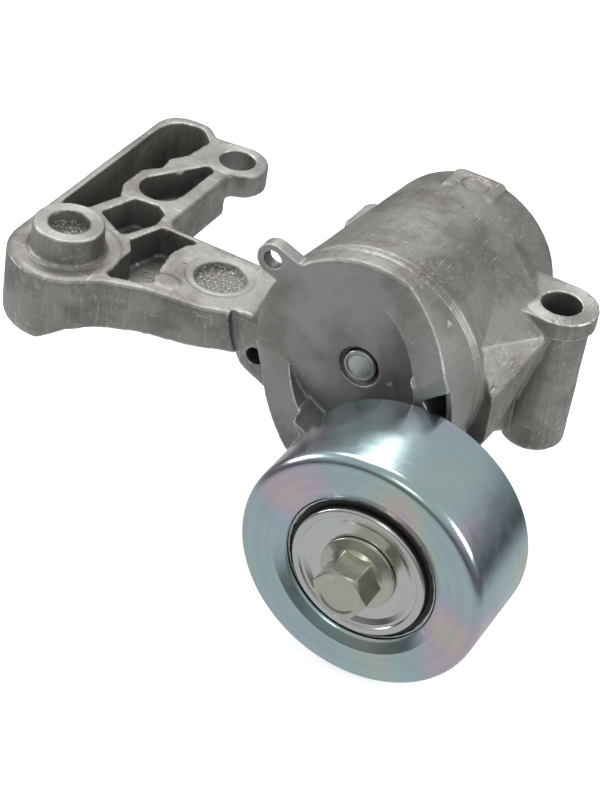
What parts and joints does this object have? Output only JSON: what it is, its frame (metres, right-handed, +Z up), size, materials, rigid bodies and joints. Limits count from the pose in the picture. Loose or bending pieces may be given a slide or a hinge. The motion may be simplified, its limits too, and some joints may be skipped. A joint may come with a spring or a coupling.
{
  "type": "belt tensioner idler",
  "caption": "Spring-loaded belt tensioner: a cast bracket with a drum, a swinging arm and a smooth plated idler pulley on a sealed ball bearing.",
  "frame": {"origin": "on the axis of the long right-hand bolt column, in the plane of its seat on the engine", "axes": "+Z up along the mounting bolts, +Y from the pulley's front face to the rear along the pulley and pivot axes, +X from the long bracket to the bolt column"},
  "size_m": [0.1766, 0.1419, 0.0992],
  "materials": {
    "cast_aluminium": "rough die-cast aluminium with bright worn edges",
    "arm_aluminium": "finer die-cast aluminium",
    "bearing_steel": "ground bearing steel",
    "shaft_steel": "pale zinc-plated steel",
    "spring_steel": "oiled dark spring steel",
    "bush_bronze": "sintered bronze",
    "yellow_zinc": "yellow-passivated zinc plate",
    "plated_steel": "iridescent zinc-plated pressed steel",
    "cover_steel": "bright pressed steel",
    "nylon": "dark moulded nylon",
    "seal_rubber": "black nitrile rubber"
  },
  "bodies": {
    "bracket": {"housing": "cast_aluminium", "front_bush": "bush_bronze", "rear_bush": "bush_bronze", "spring_guide": "nylon", "friction_sleeve": "nylon", "dust_ring": "seal_rubber"},
    "arm": {"tensioner_arm": "arm_aluminium", "pivot_shaft": "shaft_steel", "front_thrust_washer": "bush_bronze", "rear_washer": "yellow_zinc", "retaining_ring": "shaft_steel", "torsion_spring": "spring_steel", "bearing_inner_ring": "bearing_steel", "front_dust_cover": "cover_steel", "rear_dust_cover": "cover_steel", "pulley_bolt": "yellow_zinc"},
    "pulley": {"pulley_shell": "plated_steel", "bearing_outer_ring": "bearing_steel", "front_seal": "seal_rubber", "rear_seal": "seal_rubber"},
    "cage": {"ball_cage": "cover_steel", "ball_1": "bearing_steel", "ball_2": "bearing_steel", "ball_3": "bearing_steel", "ball_4": "bearing_steel", "ball_5": "bearing_steel", "ball_6": "bearing_steel", "ball_7": "bearing_steel"}
  },
  "joints": [
    {"name": "arm_swing", "type": "hinge", "parent": "bracket", "child": "arm", "pos_m": [-0.0395, 0, 0.0302], "axis": [0, -1, 0], "range_deg": [0, 60], "stiffness_Nm_per_rad": 16, "springref_deg": -63.03},
    {"name": "pulley_spin", "type": "hinge", "parent": "arm", "child": "pulley", "pos_m": [-0.01233, -0.0767, 0.00003], "axis": [0, 1, 0], "continuous": true},
    {"name": "cage_spin", "type": "hinge", "parent": "arm", "child": "cage", "pos_m": [-0.01233, -0.0767, 0.00003], "axis": [0, 1, 0], "continuous": true}
  ],
  "couplings": [
    {"joint": "cage_spin", "follows": "pulley_spin", "ratio": 0.6364}
  ]
}
